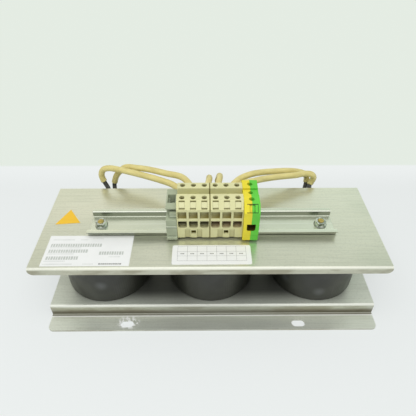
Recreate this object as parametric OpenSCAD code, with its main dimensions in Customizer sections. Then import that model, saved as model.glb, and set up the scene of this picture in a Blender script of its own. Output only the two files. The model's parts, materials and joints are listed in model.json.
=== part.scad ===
// Three-phase line reactor: three potted ring chokes clamped between a folded
// base plate and a folded top plate that carries a rail with its terminals.
// X runs along the rail, Y from the front edge to the back and Z up from the
// mounting surface. The origin is the centre of the four mounting slots.

/* [Sheet metal] */
// Thickness of the folded sheet
sheet_t = 2; // [1.5:0.1:2.5]
// Inner radius of the folds
fold_r = 1; // [0.5:0.1:2]
// Radius of the rounded sheet corners
corner_r = 5; // [1:0.5:6]

/* [Base plate] */
// Length of the base plate
base_w = 327; // [320:1:380]
// Depth of the raised deck over its two folds
deck_d = 99.5; // [97:0.5:120]
// Height of the deck above the mounting surface
deck_h = 15; // [14:0.5:30]
// Depth of each mounting flange
flange_d = 19; // [16:0.5:30]

/* [Mounting slots] */
// End to end length of a slot
slot_len = 13.5; // [11:0.5:20]
// Width of a slot
slot_w = 7.9; // [5:0.1:8.4]
// Distance between the slots along the flange
slot_pitch = 172; // [120:1:260]
// Distance of a slot's centre line from the flange edge
slot_inset = 7; // [6.5:0.5:9]

/* [Top plate] */
// Length of the top plate
top_w = 329; // [318:1:380]
// Distance from the stud line to the front face
top_front = 56; // [54:0.5:70]
// Distance from the stud line to the rear edge
top_rear = 60; // [50:0.5:61]
// Height of the front lip over the outside
lip_h = 8; // [5:0.5:15]
// Shift of the top plate along the row of chokes
plate_shift = -1; // [-4:0.5:4]

/* [Chokes] */
// Shift of the chokes, and of all above them, along the base plate
row_shift = -1.5; // [-4:0.5:4]
// Height of a choke cup
cup_h = 62; // [60:0.5:70]
// Distance between neighbouring chokes
cup_pitch = 108.5; // [100:0.5:110]
// Wall of a cup
cup_wall = 2.5; // [1.5:0.1:3]
// Floor of a cup
cup_floor = 3; // [2:0.1:4]
// Diameter of the tube round the stud
boss_d = 12; // [10:0.5:18]
// Outer diameter of the ring core
core_d = 71; // [60:0.5:73]
// Bore of the ring core
core_bore = 34; // [30:0.5:44]
// Height of the ring core
core_h = 32; // [24:0.5:33]
// Thickness of the winding round the core
winding_t = 5; // [2:0.1:5.4]
// Room for potting between the winding and the cup's wall
winding_gap = 1.5; // [1:0.1:3]
// Depth of the potting below the rim
potting_gap = 2; // [0.5:0.1:4]

/* [Studs and nuts] */
// Diameter of a stud
stud_d = 6; // [5:0.1:6.3]
// Diameter of the holes that the studs pass
stud_hole_d = 6.6; // [6.4:0.1:8]
// Distance across the flats of a nut
nut_af = 10; // [9:0.1:11]
// Height of a nut
nut_h = 5; // [4.5:0.1:5.6]
// Diameter of the flange under a nut
nut_flange_d = 12.5; // [12:0.1:16]
// Length of stud standing out of a nut
stud_proud = 1; // [0.5:0.1:4]

/* [Rail] */
// Length of the rail
rail_len = 240; // [232:1:300]
// Width of the rail over its flanges
rail_w = 35; // [34:0.1:36]
// Width of the rail's channel on the outside
rail_channel_w = 27; // [26:0.1:28]
// Height of the rail
rail_h = 7.5; // [7.3:0.1:9]
// Thickness of the rail's strip
rail_t = 1; // [0.8:0.1:1.3]
// Shift of the rail along the plate
rail_shift = 1; // [-4:0.5:4]

/* [Terminal blocks] */
// Left face of the row of rail pieces
row_x = -42.2; // [-60:0.1:-30]
// Pitch of the poles
pole_pitch = 10.2; // [10:0.05:12]
// Height of a block above the top plate
block_h = 43.7; // [42:0.1:48]
// Depth of a block from face to face
block_d = 38.8; // [38.2:0.1:44]
// Height of the feet above the top plate
foot_z = 2.7; // [2:0.1:3.5]
// Width of the channel along the top
channel_w = 8.2; // [6:0.1:9]
// Depth of the channel along the top
channel_depth = 9; // [4:0.1:10]
// Diameter of a screwdriver well
well_d = 5; // [4.9:0.1:5.6]
// Distance of a well from the middle
well_y = 9.1; // [8.8:0.1:9.6]
// Depth of the sloped marker face, front to back
slope_d = 6.6; // [5:0.1:7]
// Height of the sloped marker face
slope_h = 6.3; // [5:0.1:7]
// Width of the pockets on the front and rear faces
pocket_w = 8.1; // [7.4:0.1:9]
// Height of the pockets
pocket_h = 8.5; // [7.8:0.1:8.8]
// Height of the wire's centre line above the top plate
wire_z = 19.3; // [18.8:0.1:20]
// Depth of a wire entry
entry_depth = 3; // [2.6:0.1:3.4]
// Width of a marker tag
tag_w = 5.1; // [4:0.1:6]
// Length of a marker tag along the slope
tag_len = 5.2; // [4:0.1:6]

/* [End clamp] */
// Width of the end clamp along the rail
clamp_w = 10; // [9.5:0.1:12]
// Height of the end clamp above the top plate
clamp_h = 35; // [33:0.1:40]

/* [Earth terminal] */
// Width of the earth terminal along the rail
earth_w = 14.4; // [13:0.1:16]
// Height of the earth terminal above the top plate
earth_h = 43.2; // [42:0.1:48]
// Depth of the earth terminal from face to face
earth_d = 48; // [46:0.1:52]

/* [Leads] */
// Diameter of a lead over its insulation
lead_d = 4.8; // [4.2:0.1:5]
// Diameter of the bare conductor
conductor_d = 3.6; // [3:0.1:4]
// Wall of the insulating sleeve
sleeve_t = 0.8; // [0.4:0.05:0.9]
// Distance between the two leads of a choke
lead_gap = 6.6; // [6:0.1:8]
// Depth of the lead outlets below the top plate's surface
outlet_depth = 10; // [9.8:0.1:11]

/* [Labels] */
// Thickness of the stickers
label_t = 0.2; // [0.1:0.05:0.4]
// Length of the rating label
rating_w = 80; // [60:1:90]
// Depth of the rating label
rating_d = 38.5; // [30:0.5:38.5]
// Length of the terminal label
table_w = 73; // [60:1:90]
// Depth of the terminal label
table_d = 24; // [15:0.5:26]
// Side of the triangular sticker
triangle_side = 24.5; // [15:0.5:28]

/* [Hidden] */
$fn = 64;

// Cutters reach this far past the faces that they open
cut = 1;
// Play between pieces that slide together
play = 0.2;
// Play of a thread
thread_play = 0.05;

fold_out = fold_r + sheet_t;
base_d = deck_d + 2 * flange_d;
slot_y = base_d / 2 - slot_inset;
lip_corner_r = min(corner_r, lip_h - sheet_t);
top_z = deck_h + cup_h + sheet_t;
outlet_z = top_z - outlet_depth;

cup_d = core_d + 2 * (winding_t + winding_gap + cup_wall);
cup_r = cup_d / 2;
cup_in_r = cup_r - cup_wall;
cup_edge_r = 1.5;
winding_base = cup_floor + 1;
core_base = winding_base + winding_t;
winding_h = core_h + 2 * winding_t;
winding_r = winding_t * 0.8;
tail_y = cup_in_r - 10.5;
sleeve_d = lead_d + 2 * sleeve_t + play;
outlet_d = lead_d + 2 * play;

rail_fold = 0.4;
rail_floor_z = top_z + rail_t;
stud_tip = 2.5;
stud_low_z = deck_h - sheet_t - nut_h - stud_tip;
stud_outer_z = rail_floor_z + nut_h + stud_proud;
stud_middle_z = rail_floor_z + nut_h + play;

poles = 3;
seam = 0.2;
block_w = poles * pole_pitch - seam;
block_left_x = row_x + clamp_w + seam + block_w / 2;
block_right_x = block_left_x + poles * pole_pitch;
earth_x = block_right_x + block_w / 2 + seam + earth_w / 2;
clamp_x = row_x + clamp_w / 2;

hook_z = rail_h - rail_t - play;
hook_y = rail_w / 2 - 2;
seat_y = rail_w / 2 + play;
hook_t = 1.6;
hook_land = 1;

conductor_r = conductor_d / 2 + thread_play;
cage_wall = 0.9;
cage_floor = 1.2;
cage_head = 2.6;
cage_w = 7.4;
cage_d = 6;
neck_w = cage_w;
neck_h = pocket_h - 2 * cage_floor;
bar_w = 5.2;
bar_t = 1.5;
bar_z = wire_z + conductor_r;
cage_z = wire_z - conductor_r - cage_floor;
cage_top = bar_z + bar_t + cage_head;
screw_d = 4;
screw_head_d = well_d - 2 * play;
screw_head_h = 3;
screw_len = 11.6;
screw_top = cage_top + screw_len;
driver_d = 12;
driver_z = clamp_h - 9.5;
pocket_gap = 2.7;
upper_z = wire_z + pocket_h / 2 + pocket_gap;
entry_wall_y = block_d / 2 - entry_depth;
slope_len = norm([slope_d, slope_h]);
marker_depth = 1.5;
marker_end = 0.9;

earth_leg_t = 1.8;
earth_bar_t = 3;
earth_body_w = 7;
earth_block_d = 8;
earth_lip = 1.2;

// The leads' free stretches between the cups and the terminals, with Z from the top plate's surface
LEAD_1 = [[-111.7, 55.6, -9.5], [-114, 64.7, -4], [-118.3, 68.1, 4.2], [-119.6, 68.5, 12.6],
    [-115.8, 67.4, 20.5], [-109.3, 66.5, 22.7], [-99.9, 64.7, 22.4], [-77.2, 58, 21], [-51.9, 47.2, 20.5],
    [-39.1, 39, 21], [-29.7, 28, 20.5]];
LEAD_2 = [[-105.7, 55.6, -10.5], [-107.6, 66.7, -9], [-108.5, 72.1, -4], [-107.9, 72.7, -1],
    [-104.7, 72.7, 7.9], [-98.5, 72.2, 15.8], [-92, 70.7, 21], [-78.6, 67.6, 22.1], [-65.7, 62.6, 23.6],
    [-45.9, 51.7, 26.2], [-29.5, 43.5, 27.3], [-20.2, 30.8, 25.2]];
LEAD_3 = [[-3.3, 56, -9.5], [-2.3, 65.5, -5], [-1.6, 68.6, 2.1], [-1.3, 65.3, 9.5], [-1.2, 58.9, 15.4],
    [-1.4, 50.1, 19.6], [-2.8, 39.1, 21.5], [-4.7, 28.1, 21]];
LEAD_4 = [[3.7, 56, -9.5], [5.7, 66, -5], [8.2, 69.5, 2.1], [9.6, 67.2, 10.5], [10.1, 59.4, 17.3],
    [9.7, 50.2, 21.5], [8.1, 39.2, 23.1], [6.1, 28.2, 21.8]];
LEAD_5 = [[105.7, 58, -11], [107.7, 69.2, -10], [110.1, 75.7, -4], [109.9, 77.3, 2.1], [106.1, 76.8, 7.4],
    [98.9, 75.4, 11], [88.2, 71.2, 15.2], [70.6, 66, 18.4], [52.9, 57.6, 22.8], [41.3, 50.2, 25.7],
    [30.8, 45.6, 23.9], [20.8, 32.8, 23.1]];
LEAD_6 = [[111.7, 56.3, -10], [111.9, 65.4, -5.5], [112.5, 68.9, -2], [114.2, 70, 1.1], [115.4, 69.5, 7.4],
    [111.7, 68.5, 12.4], [104.6, 68, 13.7], [92.2, 62.5, 15.5], [75.1, 56.9, 17.9], [57.4, 48.5, 21.5],
    [46.8, 41.1, 24.7], [29.8, 34, 24.2]];
LEADS = [LEAD_1, LEAD_2, LEAD_3, LEAD_4, LEAD_5, LEAD_6];
// Route point at which each lead's sleeve begins
SLEEVE_START = [4, 5, 4, 4, 4, 4];
lead_straight = 3;

// A lead's whole route: straight out of its cup, along its free stretch and straight into its pole
function lead_route(i) =
    let (
        cup_x = (floor(i / 2) - 1) * cup_pitch + (i % 2 - 0.5) * lead_gap,
        block_x = i < poles ? block_left_x : block_right_x,
        pole_x = block_x + (i % poles - (poles - 1) / 2) * pole_pitch
    )
    concat(
        [[cup_x, tail_y, -outlet_depth], [cup_x, cup_r + lead_straight, -outlet_depth]],
        LEADS[i],
        [[pole_x, block_d / 2 + lead_straight, wire_z], [pole_x, entry_wall_y + play / 2, wire_z]]
    );

// Outline with its mirror image added on the far side of the second axis
function both_sides(half) = concat(half, [for (i = [len(half) - 1:-1:0]) [-half[i][0], half[i][1]]]);

function unit(v) = v / norm(v);

// Direction of a route at one of its points
function heading(route, i) =
    i == 0 ? unit(route[1] - route[0])
    : i == len(route) - 1 ? unit(route[i] - route[i - 1])
    : unit(unit(route[i + 1] - route[i]) + unit(route[i] - route[i - 1]));

// One side vector per point, carried along the route without twist
function side_vectors(route, i = 0, last = [0, 0, 1]) =
    i == len(route) ? []
    : let (t = heading(route, i), side = unit(last - (last * t) * t))
      concat([side], side_vectors(route, i + 1, side));

// Round tube along a route, with one ring of corners at each point
module tube(route, r, sides = 10) {
    n = len(route);
    sv = side_vectors(route);
    corners = [for (i = [0:n - 1]) let (a = sv[i], b = cross(heading(route, i), a))
        for (k = [0:sides - 1]) route[i] + r * (cos(360 * k / sides) * a + sin(360 * k / sides) * b)];
    start = [for (k = [0:sides - 1]) k];
    end = [for (k = [sides - 1:-1:0]) (n - 1) * sides + k];
    walls = [for (i = [0:n - 2]) for (k = [0:sides - 1])
        let (m = (k + 1) % sides, here = i * sides, next = here + sides)
        for (half = [0, 1]) half == 0 ? [here + k, next + k, next + m] : [here + k, next + m, here + m]];
    polyhedron(points = corners, faces = concat([start, end], walls));
}

// Carries a profile drawn in Y and Z along X, centred
module along_x(length) {
    rotate([90, 0, 90]) linear_extrude(length, center = true) children();
}

module rounded_rect(w, d, r) {
    square([w - 2 * r, d], center = true);
    square([w, d - 2 * r], center = true);
    for (x = [-1, 1], y = [-1, 1]) translate([x * (w / 2 - r), y * (d / 2 - r)]) circle(r);
}

// Quarter of a folded strip's bend, centred on the bend's axis
module fold_ring(r, t) {
    intersection() {
        difference() {
            circle(r + t);
            circle(r);
        }
        square(r + t);
    }
}

// Half of a hat profile: deck on top, wall down, flange outwards at the foot
module half_hat(deck_half, h, flange, t, r) {
    out = r + t;
    translate([0, h - t]) square([deck_half - out, t]);
    translate([deck_half - out, h - out]) fold_ring(r, t);
    translate([deck_half - t, out]) square([t, h - 2 * out]);
    translate([deck_half + r, out]) rotate(180) fold_ring(r, t);
    translate([deck_half + r, 0]) square([flange - r, t]);
}

module hat(deck_half, h, flange, t, r) {
    half_hat(deck_half, h, flange, t, r);
    mirror([1, 0]) half_hat(deck_half, h, flange, t, r);
}

// Places children at the three stud axes
module at_studs() {
    for (i = [-1:1]) translate([i * cup_pitch, 0, 0]) children();
}

// Obround cutter along X, with its axis along Z
module slot_cutter(length, w, h) {
    for (s = [-1, 1]) translate([s * (length - w) / 2, 0, 0]) cylinder(h = h, d = w);
    translate([-(length - w) / 2, -w / 2, 0]) cube([length - w, w, h]);
}

module base_plate() {
    color([0.74, 0.74, 0.70]) difference() {
        intersection() {
            along_x(base_w) hat(deck_d / 2, deck_h, flange_d, sheet_t, fold_r);
            linear_extrude(deck_h) rounded_rect(base_w, base_d, corner_r);
        }
        for (x = [-1, 1], y = [-1, 1])
            translate([x * slot_pitch / 2, y * slot_y, -cut])
                slot_cutter(slot_len, slot_w, sheet_t + 2 * cut);
        translate([row_shift, 0, deck_h - sheet_t - cut]) at_studs()
            cylinder(h = sheet_t + 2 * cut, d = stud_hole_d);
    }
}

module top_plate() {
    sheet_d = top_front + top_rear;
    color([0.76, 0.75, 0.70]) translate([0, 0, top_z]) difference() {
        translate([plate_shift, 0, 0]) intersection() {
            along_x(top_w) {
                translate([fold_out - top_front, -sheet_t]) square([sheet_d - fold_out, sheet_t]);
                translate([fold_out - top_front, -fold_out]) rotate(90) fold_ring(fold_r, sheet_t);
                translate([-top_front, -lip_h]) square([sheet_t, lip_h - fold_out]);
            }
            translate([0, top_rear, top_w / 2 - lip_h]) rotate([90, 0, 0])
                linear_extrude(sheet_d) rounded_rect(top_w, top_w, lip_corner_r);
        }
        at_studs() translate([0, 0, -sheet_t - cut]) cylinder(h = sheet_t + 2 * cut, d = stud_hole_d);
    }
}

module choke_cup(i) {
    color([0.24, 0.24, 0.22]) translate([i * cup_pitch, 0, deck_h]) difference() {
        rotate_extrude() difference() {
            union() {
                translate([0, cup_edge_r]) square([cup_r, cup_h - cup_edge_r]);
                square([cup_r - cup_edge_r, cup_edge_r + cut]);
                translate([cup_r - cup_edge_r, cup_edge_r]) circle(cup_edge_r);
            }
            translate([boss_d / 2, cup_floor]) square([cup_in_r - boss_d / 2, cup_h]);
            translate([-cut, -cut]) square([stud_hole_d / 2 + cut, cup_h + 2 * cut]);
            translate([-cup_d, 0]) square([cup_d, cup_h]);
        }
        translate([0, cup_in_r - cut, outlet_z - deck_h]) rotate([-90, 0, 0])
            slot_cutter(lead_gap + outlet_d, outlet_d, cup_wall + 2 * cut);
    }
}

module choke_core(i) {
    color([0.30, 0.28, 0.27]) translate([i * cup_pitch, 0, deck_h + core_base]) difference() {
        cylinder(h = core_h, d = core_d);
        translate([0, 0, -cut]) cylinder(h = core_h + 2 * cut, d = core_bore);
    }
}

// The winding wraps the core all round, so its section is a closed frame
module choke_winding(i) {
    ring_in = core_bore / 2 - winding_t;
    ring_out = core_d / 2 + winding_t;
    color([0.62, 0.36, 0.20]) translate([i * cup_pitch, 0, deck_h + winding_base])
        rotate_extrude() difference() {
            translate([(ring_in + ring_out) / 2, winding_h / 2])
                rounded_rect(ring_out - ring_in, winding_h, winding_r);
            translate([core_bore / 2, winding_t]) square([(core_d - core_bore) / 2, core_h]);
        }
}

module choke_potting(i) {
    ring_in = core_bore / 2 - winding_t;
    ring_out = core_d / 2 + winding_t;
    fill_h = cup_h - cup_floor - potting_gap;
    color([0.12, 0.12, 0.12]) translate([i * cup_pitch, 0, deck_h]) difference() {
        rotate_extrude() difference() {
            translate([boss_d / 2, cup_floor]) square([cup_in_r - boss_d / 2, fill_h]);
            translate([(ring_in + ring_out) / 2, winding_base + winding_h / 2])
                rounded_rect(ring_out - ring_in, winding_h, winding_r);
        }
        for (s = [-1, 1]) translate([s * lead_gap / 2, tail_y - play, outlet_z - deck_h])
            rotate([-90, 0, 0]) cylinder(h = cup_r - tail_y, d = lead_d + play);
    }
}

module clamp_stud(i) {
    tip_z = i == 0 ? stud_middle_z : stud_outer_z;
    chamfer = stud_d / 10;
    color([0.80, 0.62, 0.28]) translate([i * cup_pitch, 0, stud_low_z]) {
        cylinder(h = chamfer, d1 = stud_d - 2 * chamfer, d2 = stud_d);
        translate([0, 0, chamfer]) cylinder(h = tip_z - stud_low_z - 2 * chamfer, d = stud_d);
        translate([0, 0, tip_z - stud_low_z - chamfer])
            cylinder(h = chamfer, d1 = stud_d, d2 = stud_d - 2 * chamfer);
    }
}

// Hexagon nut with a pressed flange, seated on Z = 0
module flange_nut() {
    across = nut_af / cos(30);
    flange_edge = nut_h / 6;
    flange_rise = nut_h / 4;
    difference() {
        union() {
            intersection() {
                cylinder(h = nut_h, d = across, $fn = 6);
                cylinder(h = nut_h, d1 = nut_af + 2 * nut_h, d2 = nut_af);
            }
            cylinder(h = flange_edge, d = nut_flange_d);
            translate([0, 0, flange_edge]) cylinder(h = flange_rise, d1 = nut_flange_d, d2 = nut_af);
        }
        translate([0, 0, -cut]) cylinder(h = nut_h + 2 * cut, d = stud_d + 2 * thread_play);
    }
}

module base_nuts() {
    color([0.72, 0.73, 0.72])
        at_studs() translate([0, 0, deck_h - sheet_t]) rotate([180, 0, 0]) flange_nut();
}

module rail_nuts() {
    color([0.72, 0.73, 0.72]) at_studs() translate([0, 0, rail_floor_z]) flange_nut();
}

module din_rail() {
    color([0.74, 0.77, 0.74]) difference() {
        translate([rail_shift, 0, top_z]) along_x(rail_len) translate([0, rail_h]) mirror([0, 1])
            hat(rail_channel_w / 2, rail_h, (rail_w - rail_channel_w) / 2, rail_t, rail_fold);
        at_studs() translate([0, 0, top_z - cut]) cylinder(h = rail_t + 2 * cut, d = stud_hole_d);
    }
}

// Half outline below the waist of every rail piece: the jaw that grips the rail's flange
function jaw(face_y, foot) = [
    [face_y, foot], [hook_y, foot], [hook_y, foot + hook_t], [seat_y - hook_land, hook_z],
    [seat_y, hook_z], [seat_y, rail_h]
];

module end_clamp() {
    head_y = 14.2;
    head_t = 1.6;
    groove_y = head_y - 2.4;
    groove_z = clamp_h - 4;
    window_h = 6.4;
    window_z = groove_z - window_h;
    arm_y = head_y + 5;
    step_y = arm_y - 2.8;
    face_y = arm_y + 1;
    foot_y = face_y + 2.2;
    foot_top = foot_z + 2.8;
    half = concat([
        [head_y, clamp_h], [head_y, clamp_h - head_t], [groove_y, clamp_h - head_t],
        [groove_y, groove_z], [step_y, groove_z], [step_y, window_z],
        [arm_y, window_z], [arm_y, clamp_h / 2], [face_y, clamp_h / 2],
        [face_y, foot_top], [foot_y, foot_top]
    ], jaw(foot_y, foot_z));
    skin = 1.4;
    window_w = 3.5;
    color([0.66, 0.69, 0.66]) translate([clamp_x, 0, top_z]) difference() {
        along_x(clamp_w) polygon(both_sides(half));
        translate([skin - clamp_w / 2, -driver_d / 2, driver_z])
            cube([clamp_w - 2 * skin, driver_d, clamp_h]);
        cylinder(h = clamp_h, d = screw_d + play);
        for (s = [-1, 1]) translate([-clamp_w / 2 - cut, s * (groove_y - 1) - driver_d / 2, window_z])
            cube([window_w + cut, driver_d, window_h]);
    }
}

// Cross slot's cutter for a screw head that ends at Z = 0
module driver_slot(head_d) {
    slot_t = head_d / 6;
    slot_depth = screw_head_h * 0.4;
    translate([-head_d, -slot_t / 2, -slot_depth]) cube([2 * head_d, slot_t, slot_depth + cut]);
}

module end_clamp_screw() {
    head_rim = 2;
    head_d = clamp_w - 2 * head_rim;
    tip_z = rail_h + 1;
    color([0.70, 0.70, 0.68]) translate([clamp_x, 0, top_z]) difference() {
        union() {
            translate([0, 0, driver_z]) cylinder(h = screw_head_h, d = head_d);
            translate([0, 0, tip_z]) cylinder(h = driver_z - tip_z, d = screw_d);
        }
        translate([0, 0, driver_z + screw_head_h]) driver_slot(head_d);
    }
}

// Places children at each pole of a block, on its front and its rear
module at_poles() {
    for (i = [0:poles - 1], side = [0, 180])
        translate([(i - (poles - 1) / 2) * pole_pitch, 0, 0]) rotate(side) children();
}

// Moves to the middle of the sloped marker face, with Z square to it
module on_slope(half_d, h, depth, rise) {
    translate([0, depth / 2 - half_d, h - rise / 2]) rotate([atan2(rise, depth), 0, 0]) children();
}

// Wire entry: a mouth with rounded lower corners and a neck to the cage
module wire_entry(face_y, depth) {
    mouth_r = pocket_w / 3.4;
    translate([0, -face_y - cut, wire_z]) rotate([-90, 0, 0]) linear_extrude(depth + cut) {
        translate([-pocket_w / 2, -pocket_h / 2]) square([pocket_w, pocket_h - mouth_r]);
        translate([mouth_r - pocket_w / 2, 0]) square([pocket_w - 2 * mouth_r, pocket_h / 2]);
        for (s = [-1, 1]) translate([s * (pocket_w / 2 - mouth_r), pocket_h / 2 - mouth_r]) circle(mouth_r);
    }
}

// Test pocket over the wire entry, with a floor that slopes out to the face
module upper_pocket(face_y) {
    deep = 4;
    translate([0, -face_y, upper_z]) along_x(pocket_w)
        polygon([[-cut, 0], [0, 0], [deep * 0.7, pocket_h * 0.3], [deep, pocket_h], [-cut, pocket_h]]);
}

module cage_space() {
    translate([-cage_w / 2 - play, -well_y - cage_d / 2 - play, cage_z - play])
        cube([cage_w + 2 * play, cage_d + 2 * play, cage_top - cage_z + 2 * play]);
    translate([0, -well_y, cage_top]) cylinder(h = block_h, d = well_d);
    translate([-bar_w / 2 - play, -well_y, bar_z - play]) cube([bar_w + 2 * play, well_y, bar_t + 2 * play]);
    translate([-neck_w / 2, -entry_wall_y - cut, wire_z - neck_h / 2])
        cube([neck_w, entry_wall_y - well_y + cut, neck_h]);
}

module terminal_block(x) {
    face_y = block_d / 2;
    half = concat([
        [channel_w / 2, block_h - channel_depth], [channel_w / 2, block_h],
        [face_y - slope_d, block_h], [face_y, block_h - slope_h]
    ], jaw(face_y, foot_z));
    waist = 10.8;
    waist_z = foot_z + waist;
    tab_w = 6.4;
    recess_w = 4.8;
    recess_depth = (face_y - seat_y) / 2;
    lever_slot = 4.4;
    lever_depth = 5;
    color([0.86, 0.83, 0.66]) translate([x, 0, top_z]) difference() {
        along_x(block_w) polygon(both_sides(half));
        at_poles() {
            cage_space();
            wire_entry(face_y, entry_depth);
            upper_pocket(face_y);
            on_slope(face_y, block_h, slope_d, slope_h)
                translate([-tag_w / 2 - play / 2, -slope_len / 2 + marker_end, -marker_depth])
                    cube([tag_w + play, slope_len - 2 * marker_end, marker_depth + cut]);
        }
        for (side = [0, 180]) rotate(side) {
            for (s = [-1, 1])
                translate([s * (tab_w + recess_w) / 2 - recess_w / 2, -face_y - cut, foot_z - cut])
                    cube([recess_w, recess_depth + cut, waist_z - foot_z + cut]);
            translate([-lever_slot / 2, -face_y - cut, rail_h + play])
                cube([lever_slot, lever_depth + cut, lever_slot]);
        }
    }
}

module wire_cages(x) {
    color([0.70, 0.66, 0.55]) translate([x, 0, top_z]) at_poles() difference() {
        translate([-cage_w / 2, -well_y - cage_d / 2, cage_z]) cube([cage_w, cage_d, cage_top - cage_z]);
        translate([cage_wall - cage_w / 2, -well_y - cage_d, cage_z + cage_floor])
            cube([cage_w - 2 * cage_wall, 2 * cage_d, bar_z + bar_t + thread_play - cage_z - cage_floor]);
        translate([0, -well_y, bar_z]) cylinder(h = cage_top, d = screw_d + 2 * thread_play);
    }
}

module clamp_screws(x) {
    tip_z = bar_z + bar_t + thread_play;
    head_z = screw_top - screw_head_h;
    color([0.78, 0.72, 0.52]) translate([x, 0, top_z]) at_poles() translate([0, -well_y, 0]) difference() {
        union() {
            translate([0, 0, tip_z]) cylinder(h = head_z - tip_z, d = screw_d);
            translate([0, 0, head_z]) cylinder(h = screw_head_h, d = screw_head_d);
        }
        translate([0, 0, screw_top]) driver_slot(screw_head_d);
    }
}

module current_bars(x) {
    color([0.80, 0.70, 0.45]) translate([x, 0, top_z]) for (i = [0:poles - 1])
        translate([(i - (poles - 1) / 2) * pole_pitch - bar_w / 2, -well_y, bar_z])
            cube([bar_w, 2 * well_y, bar_t]);
}

module marker_tags(x) {
    color([0.90, 0.88, 0.74]) translate([x, 0, top_z]) at_poles()
        on_slope(block_d / 2, block_h, slope_d, slope_h)
            translate([-tag_w / 2, -tag_len / 2, -marker_depth]) cube([tag_w, tag_len, marker_depth]);
}

// Outline of the earth terminal's shell
module earth_outline() {
    face_y = earth_d / 2;
    notch_y = channel_w / 2 + 0.6;
    notch_z = earth_h - 1.5;
    foot_y = face_y - 0.8;
    waist_z = foot_z + 6.2;
    half = concat([
        [notch_y, notch_z], [notch_y, earth_h], [face_y - slope_d, earth_h], [face_y, earth_h - slope_h],
        [face_y, waist_z + face_y - foot_y], [foot_y, waist_z]
    ], jaw(foot_y, foot_z));
    polygon(both_sides(half));
}

// Side view of the earth terminal's metal body, grown by a clearance
module earth_body_outline(grow) {
    leg_out = seat_y + earth_leg_t;
    translate([-leg_out - grow, rail_h]) square([2 * (leg_out + grow), earth_bar_t + grow]);
    for (s = [-1, 1]) {
        translate([s * (seat_y + leg_out) / 2 - earth_leg_t / 2 - grow, foot_z - 2 * earth_lip])
            square([earth_leg_t + 2 * grow, rail_h - foot_z + 2 * earth_lip + cut]);
        translate([s * well_y - earth_block_d / 2 - grow, rail_h])
            square([earth_block_d + 2 * grow, cage_top - rail_h + grow]);
    }
}

// The shell and its spaces, before it is split along its middle plane
module earth_moulding() {
    face_y = earth_d / 2;
    difference() {
        along_x(earth_w) earth_outline();
        along_x(earth_body_w + 2 * play) earth_body_outline(play);
        for (side = [0, 180]) rotate(side) {
            wire_entry(face_y, face_y - well_y - earth_block_d / 2);
            translate([0, -well_y - 2, cage_top]) cylinder(h = earth_h, d = well_d);
            translate([0, -well_y, cage_top]) cylinder(h = screw_top - cage_top + play, d = well_d);
            on_slope(face_y, earth_h, slope_d, slope_h)
                translate([-tag_w / 2, -slope_len / 2 + marker_end, -marker_depth])
                    cube([tag_w, slope_len - 2 * marker_end, marker_depth + cut]);
        }
        translate([0, 0, rail_h]) cylinder(h = earth_h, d = screw_d + play);
    }
}

module earth_shell_yellow() {
    color([0.95, 0.82, 0.10]) translate([earth_x, 0, top_z]) intersection() {
        earth_moulding();
        translate([-earth_w - play / 4, -earth_d, 0]) cube([earth_w, 2 * earth_d, 2 * earth_h]);
    }
}

module earth_shell_green() {
    color([0.16, 0.66, 0.22]) translate([earth_x, 0, top_z]) intersection() {
        earth_moulding();
        translate([play / 4, -earth_d, 0]) cube([earth_w, 2 * earth_d, 2 * earth_h]);
    }
}

module earth_clamp_body() {
    color([0.78, 0.56, 0.32]) translate([earth_x, 0, top_z]) difference() {
        along_x(earth_body_w) earth_body_outline(0);
        for (side = [0, 180]) rotate(side) {
            translate([0, -earth_d, wire_z]) rotate([-90, 0, 0]) cylinder(h = earth_d, d = conductor_d + 1);
            translate([0, -well_y, wire_z]) cylinder(h = cage_top, d = screw_d + 2 * thread_play);
        }
        translate([0, 0, rail_h - cut]) cylinder(h = earth_h, d = screw_d + 2 * thread_play);
    }
}

module earth_screws() {
    color([0.78, 0.72, 0.52]) translate([earth_x, 0, top_z]) {
        for (s = [-1, 1]) translate([0, s * well_y, wire_z + conductor_r])
            cylinder(h = screw_top - wire_z - conductor_r, d = screw_d);
        translate([0, 0, rail_h]) cylinder(h = screw_top - rail_h, d = screw_d);
    }
}

// Insulated lead with its bare end in the terminal's cage
module lead(i) {
    route = lead_route(i);
    tip = route[len(route) - 1];
    color([0.18, 0.18, 0.17]) translate([0, 0, top_z]) {
        tube(route, lead_d / 2);
        translate([tip[0], tip[1] + cut, tip[2]]) rotate([90, 0, 0])
            cylinder(h = tip[1] + cut - well_y + cage_d / 2, d = conductor_d);
    }
}

// Insulating sleeve slid over a lead, from its bend behind the plate to the terminal
module lead_sleeve(i) {
    route = lead_route(i);
    last = len(route) - 1;
    covered = [for (k = [SLEEVE_START[i]:last]) route[k]];
    color([0.84, 0.76, 0.54]) translate([0, 0, top_z]) difference() {
        tube(covered, sleeve_d / 2, 12);
        tube(concat(route, [route[last] - [0, cut, 0]]), lead_d / 2 + play / 2);
    }
}

module rating_label() {
    margin = 11;
    left_x = plate_shift + margin - top_w / 2;
    front_y = fold_out + 0.5 - top_front;
    color("white") translate([left_x, front_y, top_z]) cube([rating_w, rating_d, label_t]);
}

module terminal_label() {
    front_y = -51.2;
    label_r = 2;
    color("white") translate([0, front_y + table_d / 2, top_z])
        linear_extrude(label_t) rounded_rect(table_w, table_d, label_r);
}

module triangle_label() {
    end_x = plate_shift - top_w / 2;
    free_w = rail_shift - rail_len / 2 - end_x;
    share = 0.47;
    middle_x = end_x + free_w * share;
    middle_y = 10.4;
    turn = 95;
    color([0.98, 0.76, 0.10]) translate([middle_x, middle_y, top_z]) rotate(turn)
        linear_extrude(label_t) circle(triangle_side / sqrt(3), $fn = 3);
}

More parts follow.
